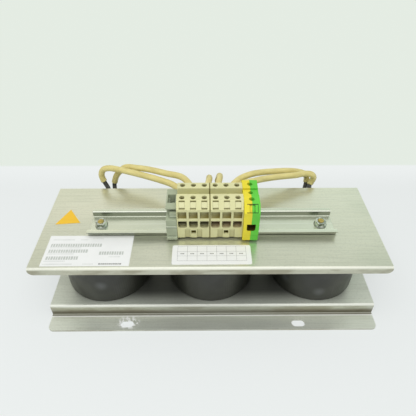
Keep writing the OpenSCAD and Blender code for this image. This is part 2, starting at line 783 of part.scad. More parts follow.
base_plate();
translate([row_shift, 0, 0]) {
    top_plate();
    choke_cup(-1);  // choke_cup_left
    choke_cup(0);  // choke_cup_middle
    choke_cup(1);  // choke_cup_right
    choke_core(-1);  // choke_core_left
    choke_core(0);  // choke_core_middle
    choke_core(1);  // choke_core_right
    choke_winding(-1);  // choke_winding_left
    choke_winding(0);  // choke_winding_middle
    choke_winding(1);  // choke_winding_right
    choke_potting(-1);  // choke_potting_left
    choke_potting(0);  // choke_potting_middle
    choke_potting(1);  // choke_potting_right
    clamp_stud(-1);  // clamp_stud_left
    clamp_stud(0);  // clamp_stud_middle
    clamp_stud(1);  // clamp_stud_right
    base_nuts();
    rail_nuts();
    din_rail();
    end_clamp();
    end_clamp_screw();
    terminal_block(block_left_x);  // terminal_block_left
    terminal_block(block_right_x);  // terminal_block_right
    wire_cages(block_left_x);  // wire_cages_left
    wire_cages(block_right_x);  // wire_cages_right
    clamp_screws(block_left_x);  // clamp_screws_left
    clamp_screws(block_right_x);  // clamp_screws_right
    current_bars(block_left_x);  // current_bars_left
    current_bars(block_right_x);  // current_bars_right
    marker_tags(block_left_x);  // marker_tags_left
    marker_tags(block_right_x);  // marker_tags_right
    earth_shell_yellow();
    earth_shell_green();
    earth_clamp_body();
    earth_screws();
    lead(0);  // lead_1
    lead(1);  // lead_2
    lead(2);  // lead_3
    lead(3);  // lead_4
    lead(4);  // lead_5
    lead(5);  // lead_6
    lead_sleeve(0);  // lead_sleeve_1
    lead_sleeve(1);  // lead_sleeve_2
    lead_sleeve(2);  // lead_sleeve_3
    lead_sleeve(3);  // lead_sleeve_4
    lead_sleeve(4);  // lead_sleeve_5
    lead_sleeve(5);  // lead_sleeve_6
    rating_label();
    terminal_label();
    triangle_label();
}
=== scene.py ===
"""Line reactor: three potted chokes between two folded plates, with a rail of terminals on top."""

import json
import math

import bmesh
import bpy
import numpy as np
from mathutils import Matrix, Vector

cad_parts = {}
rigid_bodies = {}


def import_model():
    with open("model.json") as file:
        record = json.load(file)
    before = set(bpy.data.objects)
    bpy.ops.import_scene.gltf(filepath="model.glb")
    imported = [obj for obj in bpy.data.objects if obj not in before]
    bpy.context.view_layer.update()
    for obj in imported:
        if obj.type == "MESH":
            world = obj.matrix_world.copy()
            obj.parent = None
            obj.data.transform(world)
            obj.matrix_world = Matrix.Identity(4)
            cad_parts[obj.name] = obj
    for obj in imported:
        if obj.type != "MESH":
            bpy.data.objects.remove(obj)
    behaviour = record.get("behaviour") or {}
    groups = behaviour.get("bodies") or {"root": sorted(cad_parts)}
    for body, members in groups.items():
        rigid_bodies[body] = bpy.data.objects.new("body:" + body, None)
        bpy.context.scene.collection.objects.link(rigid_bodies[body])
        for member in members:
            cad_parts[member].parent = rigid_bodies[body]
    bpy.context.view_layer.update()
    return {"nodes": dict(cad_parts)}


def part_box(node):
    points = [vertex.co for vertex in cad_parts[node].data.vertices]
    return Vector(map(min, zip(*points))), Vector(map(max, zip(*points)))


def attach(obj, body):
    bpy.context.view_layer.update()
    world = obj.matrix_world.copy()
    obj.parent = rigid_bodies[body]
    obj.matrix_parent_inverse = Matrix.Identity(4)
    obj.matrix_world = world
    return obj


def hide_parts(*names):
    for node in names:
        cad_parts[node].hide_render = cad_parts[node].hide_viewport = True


for spare in list(bpy.data.objects):
    bpy.data.objects.remove(spare)
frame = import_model()


# Base plate: one aluminium sheet folded into a raised deck with a flange along
# each long side. Slots in the flanges take the screws that hold it to a panel.


def dressed(node, edge, material):
    """The node's own mesh with its triangles merged into whole faces; a Bevel
    rounds every edge sharper than 30 degrees with the radius edge."""
    weld, flat, sharp = 5e-6, 0.01, math.radians(30)
    shape = bmesh.new()
    shape.from_mesh(frame["nodes"][node].data)
    bmesh.ops.remove_doubles(shape, verts=shape.verts, dist=weld)
    bmesh.ops.dissolve_limit(shape, angle_limit=flat, verts=shape.verts, edges=shape.edges)
    mesh = bpy.data.meshes.new("dressed_" + node)
    shape.to_mesh(mesh)
    shape.free()
    if "custom_normal" in mesh.attributes:
        mesh.attributes.remove(mesh.attributes["custom_normal"])
    mesh.polygons.foreach_set("use_smooth", np.ones(len(mesh.polygons), bool))
    mesh.set_sharp_from_angle(angle=sharp)
    mesh.materials.clear()
    mesh.materials.append(material)
    piece = bpy.data.objects.new("dressed_" + node, mesh)
    bpy.context.scene.collection.objects.link(piece)
    rounding = piece.modifiers.new("rounded_edges", "BEVEL")
    rounding.width = edge
    rounding.segments = 2
    rounding.limit_method = "ANGLE"
    rounding.angle_limit = sharp
    rounding.harden_normals = True
    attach(piece, "root")
    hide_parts(node)


def shader(material, kind, feeds=(), **settings):
    """Adds one shader node; feeds pairs its sockets with values or with other nodes' outputs."""
    made = material.node_tree.nodes.new("ShaderNode" + kind)
    for name, value in settings.items():
        setattr(made, name, value)
    for socket, value in dict(feeds).items():
        if isinstance(value, bpy.types.NodeSocket):
            material.node_tree.links.new(value, made.inputs[socket])
        else:
            made.inputs[socket].default_value = value
    return made


def noise(material, scale, detail=3.0, turn=0.0, shift=(0.0, 0.0, 0.0)):
    """Noise on Object coordinates, with its own number of cells per metre along each axis."""
    place = shader(material, "TexCoord").outputs["Object"]
    turned = shader(material, "Mapping", {"Vector": place, "Location": shift, "Rotation": (0, 0, turn)})
    sized = shader(material, "Mapping", {"Vector": turned.outputs[0], "Scale": scale})
    return shader(material, "TexNoise", {
        "Vector": sized.outputs[0], "Scale": 1.0, "Detail": detail,
    }).outputs[0]


def spread(material, source, low, high, to_low, to_high):
    """Carries a value from one range to another along a smooth step."""
    return shader(material, "MapRange", {
        "Value": source, "From Min": low, "From Max": high, "To Min": to_low, "To Max": to_high,
    }, interpolation_type="SMOOTHSTEP").outputs[0]


def mixed(material, factor, first, second):
    """Mixes two colours by a factor."""
    made = shader(material, "Mix", data_type="RGBA")
    for socket, value in ((0, factor), (6, first), (7, second)):
        if isinstance(value, bpy.types.NodeSocket):
            material.node_tree.links.new(value, made.inputs[socket])
        else:
            made.inputs[socket].default_value = value
    return made.outputs[2]


def summed(material, first, second, operation="ADD"):
    """Adds, multiplies or otherwise joins two values."""
    return shader(material, "Math", {0: first, 1: second}, operation=operation).outputs[0]


def share(material, *values):
    """The product of several values."""
    product = values[0]
    for value in values[1:]:
        product = summed(material, product, value, "MULTIPLY")
    return product


def worst(material, *values):
    """The greatest of several values."""
    most = values[0]
    for value in values[1:]:
        most = summed(material, most, value, "MAXIMUM")
    return most


def size_of(material, value):
    """A value without its sign."""
    return summed(material, value, 0.0, "ABSOLUTE")


def between(material, value, low, high, soft=0.0002):
    """One where a value lies from low to high and nought outside, with a soft border at each end."""
    rise = spread(material, value, low - soft, low + soft, 0, 1)
    return share(material, rise, spread(material, value, high - soft, high + soft, 1, 0))


def position(material):
    """X, Y and Z of the shaded point in Object coordinates, in metres."""
    return shader(material, "SeparateXYZ", {0: shader(material, "TexCoord").outputs["Object"]}).outputs


def finish(name):
    """A new material and its Principled shader."""
    made = bpy.data.materials.new(name)
    made.use_nodes = True
    return made, made.node_tree.nodes["Principled BSDF"]


def joined(material, source, skin, socket):
    """Links a value or colour to one socket of a shader."""
    material.node_tree.links.new(source, skin.inputs[socket])


def bumped(material, height, strength, distance):
    """Bump from a height value; distance is its depth in metres."""
    return shader(material, "Bump", {
        "Height": height, "Strength": strength, "Distance": distance,
    }).outputs[0]


def base_wear_and_painted_light(sheet, skin, tone, metal, slot):
    """Marks on the base: bare scuffs where noise flakes off round one slot, a painted dark band at
    the wall's foot, painted shade in its corner, a painted highlight on the rim in front of that,
    a base darker towards the middle, and painted shade on the deck where the cups cover it."""
    place = shader(sheet, "TexCoord").outputs["Object"]
    away = shader(sheet, "VectorMath", {0: place, 1: slot}, operation="SUBTRACT").outputs[0]
    away = shader(sheet, "VectorMath", {0: away, 1: (0.7, 1.0, 0.0)}, operation="MULTIPLY").outputs[0]
    away = shader(sheet, "VectorMath", {0: away}, operation="LENGTH").outputs[1]
    flakes = noise(sheet, (330, 420, 420), 4.0, turn=0.6, shift=(0.02, 0.05, 0.0))
    scuffs = share(sheet, spread(sheet, flakes, 0.46, 0.56, 0, 1),
                   spread(sheet, away, 0.0055, 0.0095, 1, 0))
    tone = mixed(sheet, scuffs, tone, (0.90, 0.91, 0.89, 1))
    place = position(sheet)
    from_row, from_middle = size_of(sheet, place["Y"]), size_of(sheet, place["X"])
    flange_top = (0.0022, 0.0030)
    # Painted shade: a dark brown band on the wall's foot, above the flange.
    painted_dark_foot = share(sheet, spread(sheet, place["Z"], *flange_top, 0, 1),
                 spread(sheet, place["Z"], 0.005, 0.011, 1, 0))
    tone = mixed(sheet, share(sheet, painted_dark_foot, 0.85), tone, (0.11, 0.095, 0.055, 1))
    flange = spread(sheet, place["Z"], *flange_top, 1, 0)
    # Painted shade in the inner corner where the flange meets the wall.
    corner = share(sheet, flange, spread(sheet, from_row, 0.0516, 0.0524, 0.7, 0))
    tone = mixed(sheet, corner, tone, (0.13, 0.115, 0.07, 1))
    # Painted highlight: a pale, less metallic rim along the inner fold.
    rim = share(sheet, flange, between(sheet, from_row, 0.0521, 0.0533, 0.0003))
    tone = mixed(sheet, rim, tone, (0.94, 0.945, 0.91, 1))
    scuffs_and_highlight = worst(sheet, scuffs, share(sheet, rim, 0.8))
    joined(sheet, spread(sheet, scuffs_and_highlight, 0, 1, metal, 0.1), skin, "Metallic")
    # The base is darker towards the middle.
    darker_middle = share(sheet, spread(sheet, from_middle, 0.020, 0.105, 0.36, 0),
                    spread(sheet, scuffs_and_highlight, 0, 1, 1, 0))
    tone = mixed(sheet, darker_middle, tone, (0.36, 0.37, 0.33, 1))
    # Painted shade on the deck between the cups, under the top plate.
    painted_shade_on_deck = share(sheet, spread(sheet, place["Y"], -0.048, -0.030, 0, 0.85),
                    spread(sheet, from_middle, 0.120, 0.145, 1, 0))
    return mixed(sheet, painted_shade_on_deck, tone, (0.025, 0.025, 0.022, 1))


def rolled_aluminium(name, shift, clean, dull, metal, slot=None):
    """Rolled sheet, part bare metal and part grey oxide: its grain is noise stretched fifty times along X,
    and it has cloudy patches, streaks, scratches where turned noises cross their middle value, brown stain
    with painted shade on the upright folds, painted shade on the underside and a painted highlight on the
    folds."""
    sheet, skin = finish(name)
    grain = noise(sheet, (26, 1300, 1300), 2.0)
    cloud = noise(sheet, (11, 15, 15), 4.0, shift=shift)
    rub = noise(sheet, (45, 60, 60), 5.0, turn=0.4, shift=shift)
    tone = mixed(sheet, spread(sheet, cloud, 0.38, 0.62, 0, 1), clean, dull)
    tone = mixed(sheet, spread(sheet, grain, 0.3, 0.7, 0, 0.35), tone, (0.84, 0.86, 0.75, 1))
    streaks = noise(sheet, (24, 620, 620), 3.0, shift=shift)
    tone = mixed(sheet, spread(sheet, streaks, 0.45, 0.72, 0, 0.26), tone, (0.50, 0.52, 0.42, 1))
    fine = noise(sheet, (480, 480, 480), 3.0, shift=shift)
    tone = mixed(sheet, spread(sheet, fine, 0.45, 0.75, 0, 0.22), tone, (0.50, 0.52, 0.44, 1))
    lines = []
    for turn, scale in ((0.5, (5, 420, 420)), (-0.9, (7, 380, 380)), (1.35, (6, 350, 350))):
        streak = noise(sheet, scale, 1.0, turn=turn, shift=shift)
        off = size_of(sheet, summed(sheet, streak, 0.5, "SUBTRACT"))
        lines.append(spread(sheet, off, 0.0, 0.012, 1, 0))
    sparse = noise(sheet, (16, 16, 16), 2.0, turn=0.8, shift=shift)
    scratches = share(sheet, worst(sheet, *lines), spread(sheet, sparse, 0.60, 0.74, 0, 1), 0.5)
    tone = mixed(sheet, scratches, tone, (0.86, 0.86, 0.80, 1))
    upward = shader(sheet, "SeparateXYZ", {0: shader(sheet, "NewGeometry").outputs["Normal"]}).outputs["Z"]
    upright = spread(sheet, size_of(sheet, upward), 0.15, 0.6, 1, 0)
    # Brown stain with painted shade: every upright face is darkened, more where the noise is high.
    stain_and_painted_shade = spread(sheet, noise(sheet, (35, 50, 90), 3.0, shift=shift), 0.4, 0.65, 0.45, 0.9)
    tone = mixed(sheet, share(sheet, upright, stain_and_painted_shade), tone, (0.36, 0.34, 0.25, 1))
    # Painted shade on faces that point down.
    tone = mixed(sheet, spread(sheet, upward, -0.9, -0.6, 0.7, 0), tone, (0.12, 0.12, 0.11, 1))
    # Painted highlight on the folds, where the face turns between upright and flat.
    painted_fold_highlight = share(sheet, spread(sheet, upward, 0.35, 0.55, 0, 0.5), spread(sheet, upward, 0.93, 0.99, 1, 0))
    tone = mixed(sheet, painted_fold_highlight, tone, (0.96, 0.965, 0.92, 1))
    skin.inputs["Metallic"].default_value = metal
    if slot is not None:
        tone = base_wear_and_painted_light(sheet, skin, tone, metal, slot)
    joined(sheet, tone, skin, "Base Color")
    rough = spread(sheet, rub, 0.3, 0.75, 0.277, 0.292)
    rough = summed(sheet, rough, spread(sheet, grain, 0.3, 0.7, 0.0, 0.008))
    joined(sheet, rough, skin, "Roughness")
    joined(sheet, bumped(sheet, grain, 0.03, 0.00006), skin, "Normal")
    along = shader(sheet, "CombineXYZ", {"X": 1.0, "Y": 0.0, "Z": 0.0}).outputs[0]
    joined(sheet, along, skin, "Tangent")
    skin.inputs["Anisotropic"].default_value = 0.35
    skin.inputs["Anisotropic Rotation"].default_value = 0.25
    return sheet


front_left_slot = (-0.0845, -0.0600, 0.0)
base_sheet = rolled_aluminium("base_sheet", (0.31, 0.12, 0.0), (0.76, 0.80, 0.70, 1),
                              (0.67, 0.705, 0.62, 1), 0.45, front_left_slot)
dressed("base_plate", 0.0003, base_sheet)


# Chokes: three round moulded cups of charcoal plastic. Each holds a ring core
# with its winding, cast in black resin, and has an outlet for two leads.


def moulded(name, colour, rough, mottle, pebble=0.0, painted_shade=None, reach=0.004):
    """Moulded plastic: one colour with a faint cloud in it and a fine pebble on its skin. Painted shade
    sits in the hollows, by the share of the directions that something within reach closes off."""
    plastic, skin = finish(name)
    cloud = noise(plastic, (70, 70, 70), 4.0)
    darker = tuple(c * (1 - mottle) for c in colour) + (1,)
    tone = mixed(plastic, spread(plastic, cloud, 0.3, 0.7, 0, 1), colour + (1,), darker)
    if painted_shade is not None:
        # Painted shade in the hollows, from ambient occlusion.
        hollows = shader(plastic, "AmbientOcclusion", {"Distance": reach}, samples=8, only_local=True)
        tone = mixed(plastic, spread(plastic, hollows.outputs["AO"], 0.15, 0.85, 0.85, 0), tone, painted_shade + (1,))
    joined(plastic, tone, skin, "Base Color")
    joined(plastic, spread(plastic, cloud, 0.25, 0.75, rough - 0.05, rough + 0.07), skin, "Roughness")
    fine = noise(plastic, (2600, 2600, 2600), 2.0)
    joined(plastic, bumped(plastic, fine, pebble, 0.00005), skin, "Normal")
    return plastic


def coated(material):
    """A material's Principled shader and the colour that now feeds it."""
    skin = material.node_tree.nodes["Principled BSDF"]
    return skin, skin.inputs["Base Color"].links[0].from_socket


cup_plastic = moulded("cup_plastic", (0.026, 0.027, 0.021), 0.34, 0.22, 0.2)
skin, tone = coated(cup_plastic)
place = shader(cup_plastic, "TexCoord").outputs["Object"]
# Painted highlights: three soft pale spots on the fronts of the cups.
painted_highlights = {(-0.1089, -0.0445, 0.0407): 0.9, (0.1057, -0.0445, 0.0294): 0.8,
                (0.0735, -0.0293, 0.0343): 0.5}
for patch, highlight_strength in painted_highlights.items():
    away = shader(cup_plastic, "VectorMath", {0: place, 1: patch}, operation="DISTANCE").outputs[1]
    tone = mixed(cup_plastic, spread(cup_plastic, away, 0.0, 0.0085, highlight_strength, 0), tone, (0.085, 0.09, 0.09, 1))
joined(cup_plastic, tone, skin, "Base Color")
for side in ("left", "middle", "right"):
    dressed("choke_cup_" + side, 0.0004, cup_plastic)

core_iron = moulded("core_iron", (0.06, 0.055, 0.05), 0.7, 0.3, 0.6)
winding_copper, skin = finish("winding_copper")
turns = noise(winding_copper, (900, 900, 20), 1.0)
tone = mixed(winding_copper, turns, (0.45, 0.17, 0.06, 1), (0.62, 0.3, 0.13, 1))
joined(winding_copper, tone, skin, "Base Color")
joined(winding_copper, bumped(winding_copper, turns, 0.4, 0.0003), skin, "Normal")
skin.inputs["Metallic"].default_value = 0.8
skin.inputs["Roughness"].default_value = 0.35
potting_resin = moulded("potting_resin", (0.025, 0.025, 0.025), 0.3, 0.3, 0.1)
for side in ("left", "middle", "right"):
    for part, material in (("core", core_iron), ("winding", winding_copper), ("potting", potting_resin)):
        finishes = frame["nodes"][f"choke_{part}_{side}"].data.materials
        finishes.clear()
        finishes.append(material)


# Top plate: an aluminium sheet laid over the cups, with a lip turned down along
# its front edge. The rail and the stickers sit on it, and shade is painted on it
# under the edges of the rail.
top_sheet = rolled_aluminium("top_sheet", (0.0, 0.0, 0.0), (0.80, 0.81, 0.67, 1),
                             (0.71, 0.735, 0.60, 1), 0.8)
skin, tone = coated(top_sheet)
place = position(top_sheet)
rail_low, rail_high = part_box("din_rail")
# Painted shade on the plate just beside the rail's edges, along the rail's length.
beside = spread(top_sheet, size_of(top_sheet, place["Y"]), 0.0125, 0.0165, 0.85, 0)
painted_shade_under_rail = share(top_sheet, beside, between(top_sheet, place["X"], rail_low.x, rail_high.x, 0.001))
joined(top_sheet, mixed(top_sheet, painted_shade_under_rail, tone, (0.10, 0.10, 0.08, 1)), skin, "Base Color")
dressed("top_plate", 0.0003, top_sheet)


# Studs and nuts: three brass studs run down through rail, plates and cups, with
# a zinc-plated flange nut at each end. Their threads show where they stand out.
stud_brass, skin = finish("stud_brass")
tarnish = noise(stud_brass, (500, 500, 500), 3.0)
tone = mixed(stud_brass, tarnish, (0.66, 0.53, 0.17, 1), (0.42, 0.32, 0.09, 1))
joined(stud_brass, tone, skin, "Base Color")
joined(stud_brass, spread(stud_brass, tarnish, 0.3, 0.7, 0.29, 0.45), skin, "Roughness")
skin.inputs["Metallic"].default_value = 1.0


def surface(name, grid, material, uv=None):
    """Mesh of a grid of points, rows by columns, whose last column joins the first."""
    rows, columns = grid.shape[:2]
    r, c = np.meshgrid(np.arange(rows - 1), np.arange(columns), indexing="ij")
    n = (c + 1) % columns
    faces = np.stack([r * columns + c, r * columns + n, (r + 1) * columns + n, (r + 1) * columns + c], -1)
    mesh = bpy.data.meshes.new(name)
    mesh.from_pydata(grid.reshape(-1, 3), [], faces.reshape(-1, 4))
    if uv is not None:
        layer = mesh.uv_layers.new(name="run")
        corner = np.zeros(len(mesh.loops), int)
        mesh.loops.foreach_get("vertex_index", corner)
        layer.data.foreach_set("uv", uv.reshape(-1, 2)[corner].ravel())
    mesh.polygons.foreach_set("use_smooth", np.ones(len(mesh.polygons), bool))
    mesh.materials.append(material)
    piece = bpy.data.objects.new(name, mesh)
    bpy.context.scene.collection.objects.link(piece)
    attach(piece, "root")
    return piece


def threaded_stud(name, node):
    """A rod about Z: radius minus a triangle wave of height and angle near its two ends,
    plain between them, closed by a cone and a flat cap at each tip."""
    radius, pitch, depth = 0.003, 0.001, 0.0005
    ends, runout, tip = 0.011, 0.0015, 0.0007
    around, along = 32, 100
    low, high = (np.array(v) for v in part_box(node))
    centre = (low + high)[:2] / 2
    z = np.concatenate([
        np.linspace(low[2], low[2] + ends, along), np.linspace(high[2] - ends, high[2], along),
    ])
    angle = np.linspace(0, 2 * math.pi, around, endpoint=False)
    height, turn = np.meshgrid(z, angle, indexing="ij")
    wave = np.abs(((height / pitch - turn / (2 * math.pi)) % 1.0) * 2 - 1)
    near_tip = np.minimum(height - low[2], high[2] - height)
    fade = np.clip((ends - near_tip) / runout, 0, 1)
    r = radius - depth * wave * fade
    r = np.minimum(r, radius - tip + near_tip)
    body = np.stack([centre[0] + r * np.cos(turn), centre[1] + r * np.sin(turn), height], -1)
    caps = [np.tile(np.array([centre[0], centre[1], h]), (around, 1))[None] for h in (low[2], high[2])]
    piece = surface(name, np.concatenate([caps[0], body, caps[1]]), stud_brass)
    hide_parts(node)


for side in ("left", "middle", "right"):
    threaded_stud("threaded_stud_" + side, "clamp_stud_" + side)

nut_zinc, skin = finish("nut_zinc")
spangle = noise(nut_zinc, (260, 260, 260), 3.0)
tone = mixed(nut_zinc, spread(nut_zinc, spangle, 0.4, 0.6, 0, 1),
             (0.34, 0.375, 0.325, 1), (0.74, 0.78, 0.71, 1))
# Painted shade: the nuts are darker below a height just above the rail's floor.
painted_dark_foot = spread(nut_zinc, position(nut_zinc)["Z"], 0.0812, 0.0822, 0.65, 0)
tone = mixed(nut_zinc, painted_dark_foot, tone, (0.16, 0.18, 0.15, 1))
joined(nut_zinc, tone, skin, "Base Color")
joined(nut_zinc, spread(nut_zinc, spangle, 0.3, 0.7, 0.17, 0.25), skin, "Roughness")
skin.inputs["Metallic"].default_value = 1.0
for node in ("base_nuts", "rail_nuts"):
    dressed(node, 0.00018, nut_zinc)


# Rail: a strip of zinc-plated steel rolled into a hat section 35 mm wide, held
# down by the nuts. The rolls leave fine lines along it.
rail_zinc, skin = finish("rail_zinc")
draw = noise(rail_zinc, (1.2, 1500, 1500), 3.0)
bloom = noise(rail_zinc, (30, 60, 60), 4.0)
tone = mixed(rail_zinc, spread(rail_zinc, bloom, 0.35, 0.7, 0, 1),
             (0.80, 0.84, 0.70, 1), (0.74, 0.785, 0.65, 1))
tone = mixed(rail_zinc, spread(rail_zinc, draw, 0.42, 0.62, 0, 0.4), tone, (0.84, 0.87, 0.77, 1))
place = position(rail_zinc)
from_middle = size_of(rail_zinc, place["Y"])
# Painted shade on the rail's upright walls.
painted_dark_wall = share(rail_zinc, between(rail_zinc, from_middle, 0.0118, 0.0142),
             between(rail_zinc, place["Z"], 0.0806, 0.0857, 0.0003))
tone = mixed(rail_zinc, share(rail_zinc, painted_dark_wall, 0.78), tone, (0.14, 0.15, 0.12, 1))
# Painted shade: a dark line under each flange's outer edge.
edge = share(rail_zinc, spread(rail_zinc, from_middle, 0.0171, 0.0174, 0, 1),
             spread(rail_zinc, place["Z"], 0.0860, 0.0864, 0.8, 0))
tone = mixed(rail_zinc, edge, tone, (0.07, 0.07, 0.055, 1))
# Painted highlights on the bends at the walls' foot and along one line on the rail's floor.
bends = share(rail_zinc, between(rail_zinc, from_middle, 0.0117, 0.0134),
              summed(rail_zinc, 1.0, painted_dark_wall, "SUBTRACT"))
highlight_line = between(rail_zinc, place["Y"], 0.0011, 0.0018)
painted_rail_highlights = share(rail_zinc, worst(rail_zinc, bends, highlight_line), 0.5)
tone = mixed(rail_zinc, painted_rail_highlights, tone, (0.96, 0.98, 0.93, 1))
joined(rail_zinc, tone, skin, "Base Color")
joined(rail_zinc, spread(rail_zinc, bloom, 0.3, 0.7, 0.19, 0.25), skin, "Roughness")
joined(rail_zinc, bumped(rail_zinc, draw, 0.05, 0.00005), skin, "Normal")
skin.inputs["Metallic"].default_value = 0.9
dressed("din_rail", 0.00015, rail_zinc)


# End clamp: a grey moulded piece that is screwed onto the rail's edges and keeps
# the row of terminals from sliding.
clamp_plastic = moulded("clamp_plastic", (0.41, 0.46, 0.325), 0.5, 0.12, 0.12, (0.07, 0.08, 0.06))
skin, tone = coated(clamp_plastic)
height = position(clamp_plastic)["Z"]
# Painted shade under each ledge and a painted highlight along it.
for ledge in (0.1060, 0.0961):
    painted_shade_below_ledge = between(clamp_plastic, height, ledge - 0.0013, ledge - 0.0005)
    tone = mixed(clamp_plastic, painted_shade_below_ledge, tone, (0.22, 0.25, 0.19, 1))
    painted_highlight_on_ledge = between(clamp_plastic, height, ledge - 0.0004, ledge + 0.0004)
    tone = mixed(clamp_plastic, painted_highlight_on_ledge, tone, (0.55, 0.60, 0.47, 1))
joined(clamp_plastic, tone, skin, "Base Color")
dressed("end_clamp", 0.0003, clamp_plastic)
dressed("end_clamp_screw", 0.0002, nut_zinc)


# Terminal blocks: two three-pole mouldings of cream plastic that grip the rail.
# Each pole has a front and a rear clamp of brass under a screwdriver well.
terminal_plastic = moulded("terminal_plastic", (0.73, 0.715, 0.395), 0.45, 0.06, 0.10, (0.15, 0.115, 0.025))


def down_slope(material, from_middle, height, edge, top):
    """How far down the sloped marker face a point lies, from its upper edge at edge and top: the
    distance out and the distance down, each by the share that the face's direction has of it."""
    out = share(material, summed(material, from_middle, edge, "SUBTRACT"), 0.7237)
    down = share(material, summed(material, top, height, "SUBTRACT"), 0.6908)
    return summed(material, out, down)


def painted_shade_by_place(plastic):
    """Painted shade by place: in the wire guides, the screwdriver wells, the foot, the seam between
    the blocks, the release levers, the ends of the marker fields and the wire entries."""
    pole_pitch, first_edge, seam_x = 0.0102, -0.0285, -0.0030
    skin, tone = coated(plastic)
    place = position(plastic)
    height, from_middle = place["Z"], size_of(plastic, place["Y"])
    from_first = summed(plastic, place["X"], -first_edge)
    from_pole = summed(plastic, from_first, pole_pitch / 2, "PINGPONG")
    behind_face = spread(plastic, from_middle, 0.0187, 0.0191, 1, 0)
    in_pocket = share(plastic, behind_face, spread(plastic, from_pole, 0.0041, 0.0045, 1, 0))
    across = summed(plastic, summed(plastic, from_first, 1.5 * pole_pitch), pole_pitch, "MODULO")
    slant = summed(plastic, height, share(plastic, across, 0.5), "SUBTRACT")
    # Painted shade in the wire guides, wells, foot, seam, levers and marker-field ends.
    guide = share(plastic, in_pocket, between(plastic, height, 0.1048, 0.1142),
                  spread(plastic, slant, 0.1015, 0.1125, 0.97, 0.22))
    well = share(plastic, between(plastic, from_middle, 0.0062, 0.0120),
                 spread(plastic, from_pole, 0.0026, 0.0028, 1, 0),
                 spread(plastic, height, 0.1195, 0.1220, 0.75, 0))
    painted_dark_foot = share(plastic, behind_face, spread(plastic, height, 0.0890, 0.0920, 0.25, 0))
    seam = spread(plastic, size_of(plastic, summed(plastic, place["X"], -seam_x)), 0.0004, 0.0007, 0.92, 0)
    lever = share(plastic, spread(plastic, from_middle, 0.0172, 0.0177, 0.95, 0),
                  between(plastic, height, 0.0855, 0.0920))
    slope = down_slope(plastic, from_middle, height, 0.0128, 0.1227)
    ends = worst(plastic, between(plastic, slope, 0.0004, 0.0012), between(plastic, slope, 0.0079, 0.0087))
    ends = share(plastic, ends, spread(plastic, from_pole, 0.0026, 0.0029, 0.7, 0))
    painted_shade = worst(plastic, guide, well, painted_dark_foot, seam, lever, ends)
    tone = mixed(plastic, painted_shade, tone, (0.145, 0.112, 0.008, 1))
    # Painted shade in the wire entries, dark red in the right block.
    entry = share(plastic, in_pocket, spread(plastic, height, 0.0940, 0.0990, 0.35, 1),
                  spread(plastic, height, 0.1028, 0.1034, 1, 0),
                  spread(plastic, height, 0.0930, 0.0936, 0, 1))
    right_block = spread(plastic, place["X"], seam_x - 0.0001, seam_x + 0.0001, 0, 1)
    shade = mixed(plastic, right_block, (0.024, 0.016, 0.002, 1), (0.13, 0.012, 0.007, 1))
    joined(plastic, mixed(plastic, entry, tone, shade), skin, "Base Color")
    skin.inputs["Specular IOR Level"].default_value = 0.3


painted_shade_by_place(terminal_plastic)
tag_plastic = moulded("tag_plastic", (0.73, 0.715, 0.41), 0.4, 0.05, 0.06)


def plated(name, bright, dark, rough):
    """Plated metal with patches of tarnish from noise."""
    metal, skin = finish(name)
    patch = noise(metal, (400, 400, 400), 3.0)
    joined(metal, mixed(metal, patch, bright, dark), skin, "Base Color")
    joined(metal, spread(metal, patch, 0.3, 0.7, rough - 0.08, rough + 0.1), skin, "Roughness")
    skin.inputs["Metallic"].default_value = 1.0
    return metal


cage_brass = plated("cage_brass", (0.13, 0.095, 0.045, 1), (0.07, 0.05, 0.022, 1), 0.4)
cage_copper = plated("cage_copper", (0.34, 0.045, 0.03, 1), (0.18, 0.022, 0.016, 1), 0.45)
for side, cage in (("left", cage_brass), ("right", cage_copper)):
    dressed("terminal_block_" + side, 0.0005, terminal_plastic)
    dressed("marker_tags_" + side, 0.0001, tag_plastic)
    dressed("clamp_screws_" + side, 0.0001, cage_brass)
    dressed("wire_cages_" + side, 0.0001, cage)
    dressed("current_bars_" + side, 0.0001, cage_brass)


# Earth terminal: a yellow and a green half shell closed round a brass body that
# grips the rail and joins it to the earth wires.
earth_yellow = moulded("earth_yellow", (0.86, 0.74, 0.04), 0.4, 0.06, 0.08, (0.16, 0.12, 0.01), 0.003)
earth_green = moulded("earth_green", (0.135, 0.64, 0.06), 0.4, 0.08, 0.08, (0.01, 0.06, 0.01), 0.003)
for shell, dark in ((earth_yellow, (0.14, 0.10, 0.005, 1)), (earth_green, (0.01, 0.055, 0.008, 1))):
    skin, tone = coated(shell)
    place = position(shell)
    from_middle = size_of(shell, place["Y"])
    slope = down_slope(shell, from_middle, place["Z"], 0.0174, 0.1222)
    # Painted shade in the ends and side of the marker field.
    ends = worst(shell, between(shell, slope, 0.0003, 0.0011), between(shell, slope, 0.0080, 0.0088))
    painted_shade_field_ends = share(shell, ends, between(shell, place["X"], 0.0300, 0.0402))
    edge = share(shell, between(shell, slope, 0.0003, 0.0088), between(shell, place["X"], 0.0398, 0.0403))
    tone = mixed(shell, worst(shell, painted_shade_field_ends, edge), tone, dark)
    # Painted shade in the wire entry hole.
    painted_shade_in_hole = share(shell, between(shell, place["X"], 0.0305, 0.0393),
                 between(shell, place["Z"], 0.0905, 0.1040, 0.0008),
                 spread(shell, from_middle, 0.0231, 0.0235, 1, 0))
    joined(shell, mixed(shell, painted_shade_in_hole, tone, (0.075, 0.055, 0.012, 1)), skin, "Base Color")
    skin.inputs["Specular IOR Level"].default_value = 0.35
dressed("earth_shell_yellow", 0.0003, earth_yellow)
dressed("earth_shell_green", 0.0003, earth_green)
dressed("earth_clamp_body", 0.0002, cage_brass)
dressed("earth_screws", 0.0002, cage_brass)


